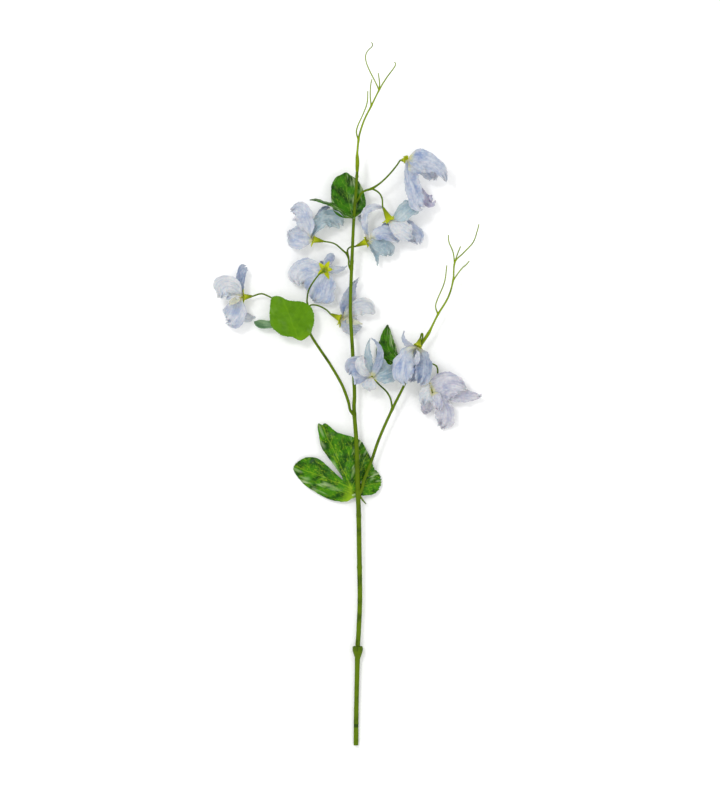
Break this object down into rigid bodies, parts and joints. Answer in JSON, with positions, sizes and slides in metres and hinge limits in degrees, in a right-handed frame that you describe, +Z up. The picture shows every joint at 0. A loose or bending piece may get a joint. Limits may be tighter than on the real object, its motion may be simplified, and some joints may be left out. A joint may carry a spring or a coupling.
{
  "type": "sweet pea flower spray",
  "caption": "Cut sweet pea spray lying flat: a slim green stem with side shoots, tendrils and leaves, and pale blue ruffled blossoms in green calyces.",
  "frame": {"origin": "middle of the spray's outline in X and Y, at the surface it lies on", "axes": "+Y up the main stem from the cut end to the tendril tips, +X across the spray, +Z up from the surface"},
  "size_m": [0.2656, 0.701, 0.0392],
  "materials": {
    "stem": "satin green stem",
    "tendril": "satin lime green tendril",
    "calyx": "satin yellow green",
    "dark_leaf": "waxy deep green leaf",
    "pale_leaf": "soft yellow green leaf",
    "banner_petals": "pale lavender blue petal",
    "wing_petals": "pale blue petal with darker veins",
    "keel_petals": "cream petal"
  },
  "bodies": {
    "root": {"banner_a": "banner_petals", "banner_b": "banner_petals", "banner_c": "banner_petals", "banner_d": "banner_petals", "banner_e": "banner_petals", "banner_f": "banner_petals", "banner_g": "banner_petals", "banner_h": "banner_petals", "banner_i": "banner_petals", "banner_j": "banner_petals", "base_leaf": "dark_leaf", "calyx_a": "calyx", "calyx_b": "calyx", "calyx_c": "calyx", "calyx_d": "calyx", "calyx_e": "calyx", "calyx_f": "calyx", "calyx_g": "calyx", "calyx_h": "calyx", "calyx_i": "calyx", "calyx_j": "calyx", "keel_a": "keel_petals", "keel_b": "keel_petals", "keel_c": "keel_petals", "keel_d": "keel_petals", "keel_e": "keel_petals", "keel_f": "keel_petals", "keel_g": "keel_petals", "keel_h": "keel_petals", "keel_i": "keel_petals", "keel_j": "keel_petals", "left_shoot": "stem", "lower_stem": "stem", "main_stem": "stem", "middle_peduncle": "stem", "right_leaf_dark": "dark_leaf", "right_leaf_pale": "dark_leaf", "right_shoot": "stem", "right_tendril": "tendril", "shoot_leaf_large": "pale_leaf", "shoot_leaf_small": "dark_leaf", "top_leaf_edge": "dark_leaf", "top_leaf_round": "dark_leaf", "top_tendril": "tendril", "upper_peduncle": "stem", "wings_a": "wing_petals", "wings_b": "wing_petals", "wings_c": "wing_petals", "wings_d": "wing_petals", "wings_e": "wing_petals", "wings_f": "wing_petals", "wings_g": "wing_petals", "wings_h": "wing_petals", "wings_i": "wing_petals", "wings_j": "wing_petals"}
  },
  "joints": []
}
